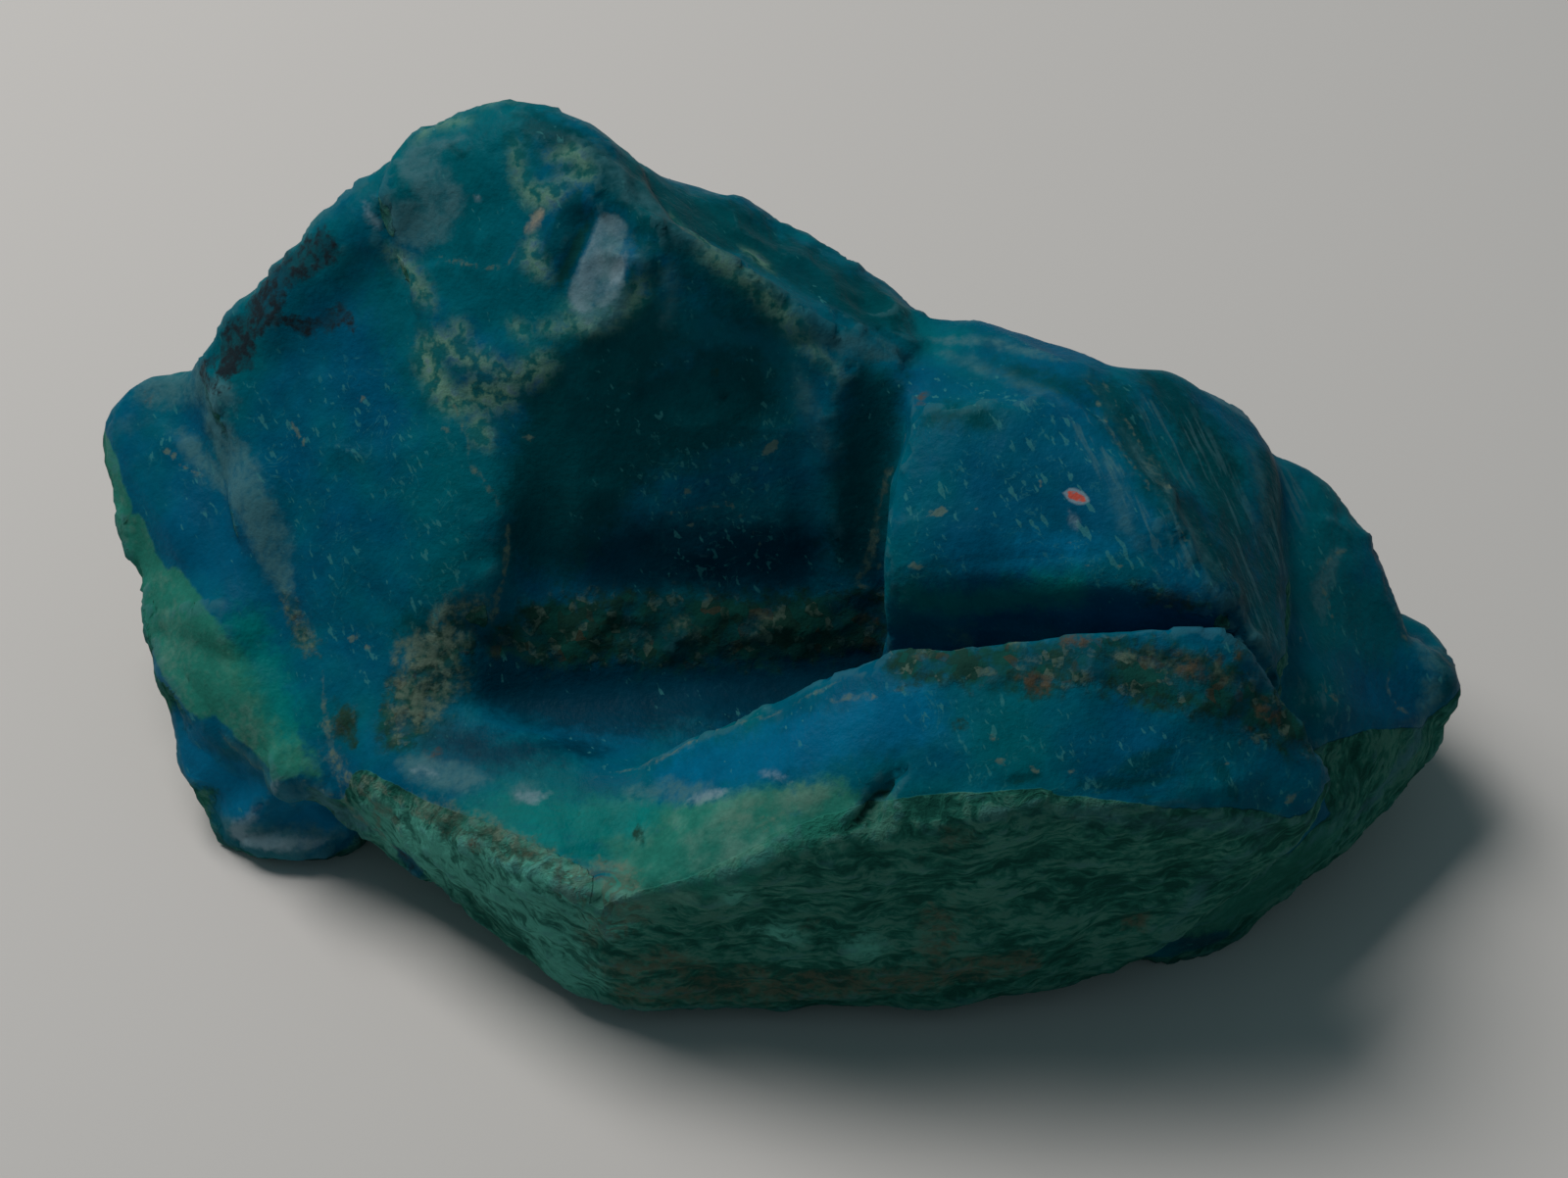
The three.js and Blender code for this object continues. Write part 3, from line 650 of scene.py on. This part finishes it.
def layer_ridges(points):
    """Long narrow ridges that follow the crust's layers, about -1 to 1."""
    along = Vector((1.0, 0.0, 0.0)).cross(LAYER_NORMAL).cross(LAYER_NORMAL).normalized()
    laid = points @ np.array([along, LAYER_NORMAL.cross(along), LAYER_NORMAL]).T
    bent = laid + RIDGE_BEND * grainy(points, RIDGE_BEND_SIZE, 2)[:, None]
    return grainy(bent * np.array(RIDGE_SQUEEZE), RIDGE_SIZE, 4)


# ---- Shader maths ----


class Socket:
    """One output of a shader node. Sums and products of sockets add the Math nodes they need."""

    def __init__(self, tree, output):
        self.tree = tree
        self.output = output

    def node(self, kind, settings=None, sockets=None, output=0):
        """Adds a node: its settings first, then the values or links of its sockets."""
        made = self.tree.nodes.new(kind)
        for name, value in (settings or {}).items():
            setattr(made, name, value)
        for name, value in (sockets or {}).items():
            if isinstance(value, Socket):
                self.tree.links.new(value.output, made.inputs[name])
            else:
                made.inputs[name].default_value = value
        return Socket(self.tree, made.outputs[output])

    def math(self, operation, *values):
        """A Math node on this value and others."""
        return self.node("ShaderNodeMath", {"operation": operation}, dict(enumerate((self, *values))))

    def __add__(self, other):
        return self.math("ADD", other)

    def __sub__(self, other):
        return self.math("SUBTRACT", other)

    def __mul__(self, other):
        return self.math("MULTIPLY", other)

    def __rsub__(self, other):
        return self.node("ShaderNodeMath", {"operation": "SUBTRACT"}, {0: other, 1: self})

    __radd__ = __add__
    __rmul__ = __mul__

    def rise(self, low, high):
        """0 below low, 1 above high, and a smooth rise between them."""
        return self.node("ShaderNodeMapRange", {"interpolation_type": "SMOOTHSTEP"}, {
            "Value": self, "From Min": low, "From Max": high})

    def or_more(self, other):
        """The larger of two values."""
        return self.math("MAXIMUM", other)

    def moved(self, other):
        """A vector plus another one."""
        return self.node("ShaderNodeVectorMath", {"operation": "ADD"}, {0: self, 1: other})

    def scaled(self, scale):
        """A vector or a colour times a number or a value."""
        return self.node("ShaderNodeVectorMath", {"operation": "SCALE"}, {0: self, "Scale": scale})

    def laid(self, turn, stretch):
        """This place with what lies over it stretched by three factors, and then turned."""
        return self.node("ShaderNodeMapping", {"vector_type": "TEXTURE"}, {
            "Vector": self, "Rotation": turn, "Scale": stretch})

    def drawn_out(self, run, stretch):
        """This place with what lies over it drawn out along a direction, by the given factor."""
        return self.laid(run.to_track_quat("X", "Z").to_euler(), (stretch, 1.0, 1.0))

    def noise(self, period, detail=3.0, roughness=0.55, output=0, distortion=0.0):
        """Noise over this place, with lumps of the given size in millimetres, from 0 to 1."""
        return self.node("ShaderNodeTexNoise", {}, {
            "Vector": self, "Scale": 1.0 / period, "Detail": detail, "Roughness": roughness,
            "Distortion": distortion}, output)

    def mixed(self, low, high):
        """One colour where this value is 0, and another one where it is 1."""
        return self.node("ShaderNodeMix", {"data_type": "RGBA"}, {0: self, 6: low, 7: high}, 2)

    def painted(self, factor, top):
        """This colour with another one over it where the factor is 1."""
        return factor.mixed(self, top)


def new_material(name):
    """A new material, its Principled shader, and the place on the piece in millimetres."""
    material = bpy.data.materials.new(name)
    material.use_nodes = True
    tree = material.node_tree
    tree.nodes.clear()
    shader = tree.nodes.new("ShaderNodeBsdfPrincipled")
    output = tree.nodes.new("ShaderNodeOutputMaterial")
    tree.links.new(shader.outputs["BSDF"], output.inputs["Surface"])
    place = Socket(tree, tree.nodes.new("ShaderNodeTexCoord").outputs["Object"])
    return material, shader, place.scaled(1.0 / MM)


# ---- The stone's finish ----

# Colours over the clean blue: the mark that each fills, the softness and the wander of that
# mark's edge in millimetres, the strength, and the colour.
BLUES = [
    ("teal", 1.4, 1.8, 0.8, "teal"),
    # painted shade in the hollow and the recess
    ("deep", 1.2, 1.5, 0.9, "deep"),
    # includes painted light in the shaded recess under the ledge
    ("cyan", 1.0, 1.5, 0.8, "cyan"),
    # painted shade on faces turned from the light
    ("shade", 1.0, 1.8, 0.85, "shade"),
    # includes painted light in the recess under the ledge
    ("lagoon", 1.0, 1.4, 0.9, "lagoon"),
    # painted shade in grooves and on edges, and dark cracks on the blade
    ("gloom", 0.25, 0.5, 0.75, "shade"),
]


class Finish:
    """The patterns that the stone's colours share, and the colours made from them."""

    def __init__(self, place):
        self.place = place
        self.mottle = place.noise(2.2, 6.0, 0.62)
        self.grit = place.noise(0.3, 2.0)
        self.fine = place.noise(0.45, 3.0)
        self.speckle = self.mottle * 0.5 + self.fine * 0.5
        self.edge = place.noise(0.8, 4.0, 0.65) - 0.5
        self.patches = place.noise(3.2, 5.0, 0.6)
        self.streaks = place.drawn_out(FLECK_RUN, 2.4)
        self.brushed = self.streaks.noise(1.3, 4.0, 0.6)
        swirl = place.node("ShaderNodeTexNoise", {}, {"Vector": place, "Scale": 0.45}, 1)
        bedding = place.moved(swirl.scaled(1.3)).laid((LAYER_TILT, 0.0, 0.0), LAYER_STRETCH)
        self.strata = bedding.noise(0.27, 4.0, 0.62)
        cells = place.node("ShaderNodeTexVoronoi", {}, {"Vector": place, "Scale": 1.7}, "Color")
        self.tint = cells.node("ShaderNodeSeparateColor", {}, {0: cells}, 0)
        self.blots = place.noise(0.8, 3.0, 0.55)
        crusted = self.kept("crust") + self.edge * 0.35 + (self.patches - 0.5) * 0.3
        self.crusted = crusted.rise(0.44, 0.56) * (1.0 - self.mask("bare", 0.3, 0.8) * 0.9)
        self.matrix = self.mask("matrix", 0.6, 1.6) * (0.3 + self.mottle.rise(0.35, 0.55) * 0.7)
        self.moss = self.mask("moss", 0.8, 1.2) * (0.4 + self.blots.rise(0.34, 0.54) * 0.55)
        self.notch_shade = self.mask("slit", 0.15, 0.2)

    def kept(self, name):
        """A number that the stone's points keep."""
        return self.place.node("ShaderNodeAttribute", {"attribute_name": name}, {}, "Fac")

    def mask(self, kind, soft, wander):
        """1 inside a mark, with an edge that wanders by the given distance."""
        return 1.0 - (self.kept(kind) + self.edge * (2.0 * wander)).rise(-soft, soft)

    def blue(self, colours):
        """Clean broken faces, from blue to teal, with painted shade and painted light, pale flecks, fine
        lines and scratches.
        """
        blue = self.place.noise(9.0, 4.0).rise(0.35, 0.68).mixed(colours.blue, colours.teal)
        for kind, soft, wander, strength, name in BLUES:
            blue = blue.painted(self.mask(kind, soft, wander) * strength, getattr(colours, name))
        blue = blue.scaled(0.35 + self.mottle * 0.65 + self.brushed * 0.5 + self.grit * 0.15)
        web = self.mask("web", 1.2, 1.8)
        flecked = (self.streaks.noise(0.42, 2.0) + web * 0.04).rise(0.655, 0.71)
        flecked = flecked * (self.patches + web * 0.1).rise(0.47, 0.6)
        winding = (self.place.noise(3.2, 4.0, 0.6, distortion=1.0) - 0.5).math("ABSOLUTE")
        lines = (1.0 - winding.rise(0.0, 0.014)) * self.fine.rise(0.42, 0.62)
        blue = blue.painted(flecked * 0.55, colours.turquoise)
        blue = blue.painted(lines * (0.05 + web * 0.3), colours.turquoise)
        scratches = self.place.drawn_out(FAN_RUN, 9.0).noise(0.55, 3.0, 0.6).rise(0.52, 0.64)
        return blue.painted(self.mask("fan", 0.8, 1.0) * scratches * 0.55, colours.dust)

    def crust(self, colours):
        """The layered green outside, with painted shade in the hollows between its layers, brown stains,
        and sea-green ground that is partly painted light.
        """
        layered = self.strata * 0.75 + self.kept("ridge") * 0.12 + self.patches * 0.2 + 0.025
        raised = layered.rise(0.38, 0.55)
        # dark layers of the crust, with painted shade in its hollows
        crust = raised.mixed(colours.crust_dark_and_shade, colours.crust)
        crust = crust.painted(layered.rise(0.5, 0.6) * 0.5, colours.crust_pale)
        spotted = self.patches.rise(0.58, 0.7) * self.fine.rise(0.45, 0.7)
        crust = crust.painted(spotted * 0.3, colours.stain)
        grained = (self.strata * 0.5 + self.fine * 0.5).rise(0.42, 0.58)
        crust = crust.painted(self.mask("stain", 0.7, 1.8) * (0.15 + grained * 0.6), colours.stain)
        crust = crust.painted(self.mask("calm", 0.4, 0.5) * 0.7, colours.crust)
        # sea-green crust, partly painted light on the lit prow
        crust = crust.painted(self.mask("sea", 0.9, 1.4) * (0.25 + raised * 0.75), colours.sea)
        return crust.scaled(0.55 + self.mottle * 0.6 + self.grit * 0.3)

    def wing(self, colours):
        """The pale green outer side of the wing."""
        spread = (self.patches * 0.6 + self.fine * 0.4).rise(0.45, 0.7)
        wing = spread.mixed(colours.leaf, colours.crust_pale)
        return wing.scaled(0.35 + self.mottle * 0.8 + self.brushed * 0.4)

    def leaves(self, colours):
        """The pale green zones on top."""
        spread = (self.patches * 0.5 + self.mottle * 0.5).rise(0.45, 0.65)
        leaves = spread.mixed(colours.leaf, colours.crust_pale)
        leaves = leaves.painted(self.mask("lagoon", 1.0, 1.5) * 0.9, colours.lagoon)
        lime = self.mask("lime", 0.8, 1.2) * self.mottle.rise(0.35, 0.6)
        leaves = leaves.painted(lime * 0.4, colours.tan)
        return leaves.scaled(0.4 + self.mottle * 0.8 + self.grit * 0.4)

    def grains(self, colours):
        """Brown-green host rock with tan and rusty grains."""
        grains = self.tint.rise(0.35, 0.5).mixed(colours.crust_dark_and_shade, colours.matrix)
        pale = self.tint.rise(0.8, 0.84) * self.fine.rise(0.4, 0.6)
        grains = grains.painted(pale * 0.55, colours.tan)
        rusty = self.tint.rise(0.61, 0.63) - self.tint.rise(0.66, 0.68)
        return grains.painted(rusty * 0.4, colours.rust).scaled(0.4 + self.mottle)

    def layers(self, colours):
        """What lies over the blue, from the lowest up: how far it covers, and its colour."""
        mask = self.mask
        mottle = self.mottle
        fine = self.fine
        knots = self.place.noise(1.8, 3.0, 0.6, distortion=1.6) - 0.5
        knotted = mask("knot", 0.6, 1.0) * 0.5
        twists = 1.0 - (knots + 0.04).math("ABSOLUTE").rise(0.03, 0.09)
        mossy = self.blots.rise(0.4, 0.56).mixed(colours.crust, colours.moss)
        mossy = mossy.painted(self.blots.rise(0.56, 0.7) * 0.5, colours.sheen)
        worn = (self.kept("worn") + fine * 0.8 - 0.4).rise(0.4, 1.2)
        worn = worn * (1.0 - self.matrix) * (1.0 - mask("slit", 0.9, 0.0))
        coated = self.speckle.rise(0.4, 0.56)
        film_and_reflection_spread = 0.25 + (mottle * 0.6 + fine * 0.4).rise(0.34, 0.56) * 0.6
        reflected = mask("gloss", 0.2, 0.4)
        return [
            (self.crusted, self.crust(colours)),
            (mask("green", 0.15, 0.35) * 0.95, self.wing(colours)),
            (mask("leaf", 0.5, 1.1) * 0.93, self.leaves(colours)),
            (knotted * knots.rise(0.0, 0.08), colours.crust_pale),
            (knotted * twists, colours.stain),
            (self.moss, mossy),
            (self.matrix * 0.95, self.grains(colours)),
            (mask("tan", 0.5, 1.3) * (0.05 + self.speckle.rise(0.42, 0.6) * 0.7), colours.tan),
            (worn * 0.3, colours.dust),
            # grey film, partly painted reflection and painted light
            (mask("film", 0.5, 1.0) * film_and_reflection_spread, colours.dust),
            # grey dust, and painted highlight along the front rim
            (mask("dust", 0.6, 1.0) * (0.1 + mottle.rise(0.35, 0.65) * 0.55), colours.dust),
            (mask("black", 0.2, 0.9) * (0.45 + coated * 0.55), colours.black),
            (mask("rust", 0.3, 0.8) * fine.rise(0.3, 0.6) * 0.7, colours.rust),
            (mask("olive", 0.2, 0.7) * (0.35 + coated * 0.6), colours.matrix),
            (mask("vein", 0.12, 0.4) * (0.15 + fine.rise(0.35, 0.6) * 0.55), colours.tan),
            (mask("cream", 0.25, 0.5) * (0.2 + fine * 0.8), colours.cream),
            # painted reflection on the glossy chip
            (reflected * (0.3 + self.brushed * 0.6), colours.dust),
            (reflected * mottle.rise(0.35, 0.65) * 0.45, colours.sheen),
            # painted highlight
            (mask("sheen", 0.3, 0.5) * (0.2 + mottle * 0.7), colours.sheen),
            (mask("fleck", 0.08, 0.4) * 0.65, colours.tan),
            ((1.0 - self.kept("red").rise(0.1, 0.25)) * 0.7, colours.sheen),
            (mask("red", 0.05, 0.15), colours.red),
            # painted shade: dark crust inside the notch
            (self.notch_shade * 0.9, colours.crust_dark_and_shade),
        ]

    def base(self, colours):
        """The colour of the whole stone."""
        base = self.blue(colours)
        for factor, top in self.layers(colours):
            base = base.painted(factor, top)
        # painted shade inside the notch
        base = base.scaled(1.0 - self.notch_shade * 0.6)
        # dark lines in the cracks, and painted shade in the cap's groove
        return base.painted(self.mask("crack", 0.1, 0.25) * 0.6, colours.crust_dark_and_shade)

    def height(self, dull):
        """The height of the fine grain, more of it on dull ground."""
        grain = self.mottle * 0.5 + self.fine * 0.35 + self.grit * 0.1
        grain = grain + self.strata * self.crusted * 1.6 + self.tint * self.matrix * 0.4
        return grain + self.edge * dull * 0.5


def stone_material(colours):
    """Blue faces, green crust, brown matrix and the marks over them."""
    material, shader, place = new_material("chrysocolla")
    finish = Finish(place)
    dull = finish.crusted.or_more(finish.matrix).or_more(finish.moss)
    rough = 0.42 + dull * 0.4 + (finish.mottle - 0.5) * 0.3
    bump = place.node("ShaderNodeBump", {}, {
        "Strength": 0.6, "Distance": 0.3 * MM, "Height": finish.height(dull)})
    links = material.node_tree.links
    links.new(finish.base(colours).output, shader.inputs["Base Color"])
    links.new(rough.output, shader.inputs["Roughness"])
    links.new(bump.output, shader.inputs["Normal"])
    shader.inputs["Specular IOR Level"].default_value = 0.02
    return material


# ---- The stage ----


def add_camera(context):
    """Adds the camera that looks down on the stone."""
    lens = bpy.data.cameras.new("camera")
    lens.lens = LENS_MM
    lens.sensor_width = SENSOR_MM
    lens.clip_start = 0.01
    camera = bpy.data.objects.new("camera", lens)
    camera.location = VIEW_EYE
    camera.rotation_euler = (math.pi / 2 - VIEW_ELEVATION, 0.0, 0.0)
    context.scene.collection.objects.link(camera)
    context.scene.camera = camera


def add_light(context, settings):
    """Adds the soft light and the room's even light."""
    lamp = bpy.data.lights.new("key", "AREA")
    lamp.size = settings.key_size
    lamp.energy = settings.key_power
    lamp.color = settings.key_colour[:3]
    key = bpy.data.objects.new("key", lamp)
    key.location = VIEW_TARGET + LIGHT_FROM * LIGHT_DISTANCE
    key.rotation_euler = (-LIGHT_FROM).to_track_quat("-Z", "Y").to_euler()
    context.scene.collection.objects.link(key)
    world = bpy.data.worlds.new("room")
    world.use_nodes = True
    background = world.node_tree.nodes["Background"]
    background.inputs["Color"].default_value = settings.fill_colour
    background.inputs["Strength"].default_value = settings.fill
    context.scene.world = world
    context.scene.view_settings.view_transform = "Standard"


def add_floor(context, settings):
    """Adds the floor."""
    shape = bmesh.new()
    bmesh.ops.create_grid(shape, x_segments=1, y_segments=1, size=settings.floor_size / 2)
    mesh = bpy.data.meshes.new("floor")
    shape.to_mesh(mesh)
    shape.free()
    floor = bpy.data.objects.new("floor", mesh)
    context.scene.collection.objects.link(floor)
    material, shader, _ = new_material("floor")
    shader.inputs["Base Color"].default_value = settings.floor
    shader.inputs["Roughness"].default_value = 0.9
    mesh.materials.append(material)


# ---- Operators ----


class CHRYSOCOLLA_OT_stage(bpy.types.Operator):
    """Lays the pale floor and sets up the camera and the soft light"""

    bl_idname = "chrysocolla.stage"
    bl_label = "Stage"

    def execute(self, context):
        settings = context.scene.chrysocolla_stage
        add_camera(context)
        add_light(context, settings)
        add_floor(context, settings)
        return {"FINISHED"}


class CHRYSOCOLLA_OT_stone(bpy.types.Operator):
    """Shapes the stone over the plain solid and records where its marks lie"""

    bl_idname = "chrysocolla.stone"
    bl_label = "Stone"

    def execute(self, context):
        settings = context.scene.chrysocolla_stone
        skin = Skin(voxel_skin(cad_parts[CAD_NODE], settings.grain))
        resting = skin.points[:, 2] < 0.5 * settings.grain
        break_faces(skin, settings)
        marks = mark_distances(MARKS, skin)
        normals = skin.normals()
        crust = np.maximum(crust_share(skin, normals), within(marks["rind"], 0.5))
        ridges = layer_ridges(skin.points)
        edges = ramp(skin.blurred(skin.bend(), 1), EDGE_START, EDGE_SHARP)
        nicks = ramp(grainy(skin.points, NICK_SIZE, 3, 5.0), 0.0, 0.6)
        lumpy = np.maximum(within(marks["matrix"], 0.6), 0.5 * within(marks["tan"], 0.3))
        rise = settings.ridge * crust * ridges
        rise += settings.lump * lumpy * grainy(skin.points, LUMP_SIZE, 3)
        rise -= settings.wear * edges * nicks
        rise -= settings.slit * (within(marks["slit"], 0.3) + 0.25 * within(marks["crack"], 0.4))
        skin.points += rise[:, None] * normals
        skin.points[:, 2] = np.maximum(skin.points[:, 2], 0.0)
        skin.points[resting, 2] = 0.0
        skin.write_back()
        for kind in sorted(marks):
            skin.store(kind, marks[kind])
        skin.store("crust", crust)
        skin.store("ridge", ridges)
        skin.store("worn", skin.blurred(skin.bend(), 1) / EDGE_WORN)
        skin.mesh.polygons.foreach_set("use_smooth", np.ones(len(skin.faces), bool))
        stone = bpy.data.objects.new("chrysocolla_stone", skin.mesh)
        context.scene.collection.objects.link(stone)
        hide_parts(CAD_NODE)
        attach(stone, "root")
        return {"FINISHED"}


class CHRYSOCOLLA_OT_finish(bpy.types.Operator):
    """Gives the stone its colours and its fine grain"""

    bl_idname = "chrysocolla.finish"
    bl_label = "Finish"

    def execute(self, context):
        stone = bpy.data.objects["chrysocolla_stone"]
        stone.data.materials.clear()
        stone.data.materials.append(stone_material(context.scene.chrysocolla_colours))
        return {"FINISHED"}


class CHRYSOCOLLA_PT_panel(bpy.types.Panel):
    """Lists the steps and their settings"""

    bl_idname = "CHRYSOCOLLA_PT_panel"
    bl_label = "Chrysocolla"
    bl_space_type = "VIEW_3D"
    bl_region_type = "UI"
    bl_category = "Chrysocolla"

    def draw(self, context):
        for step, group, settings in STEPS:
            self.layout.operator(step.bl_idname)
            for name in settings.__annotations__:
                self.layout.prop(getattr(context.scene, group), name)


STEPS = [
    (CHRYSOCOLLA_OT_stage, "chrysocolla_stage", StageSettings),
    (CHRYSOCOLLA_OT_stone, "chrysocolla_stone", StoneSettings),
    (CHRYSOCOLLA_OT_finish, "chrysocolla_colours", ColourSettings),
]


def register():
    for step, group, settings in STEPS:
        bpy.utils.register_class(settings)
        setattr(bpy.types.Scene, group, bpy.props.PointerProperty(type=settings))
        bpy.utils.register_class(step)
    bpy.utils.register_class(CHRYSOCOLLA_PT_panel)


def unregister():
    bpy.utils.unregister_class(CHRYSOCOLLA_PT_panel)
    for step, group, settings in reversed(STEPS):
        bpy.utils.unregister_class(step)
        delattr(bpy.types.Scene, group)
        bpy.utils.unregister_class(settings)


def main():
    """Builds everything in order."""
    register()
    bpy.ops.chrysocolla.stage()
    bpy.ops.chrysocolla.stone()
    bpy.ops.chrysocolla.finish()


if __name__ == "__main__":
    main()
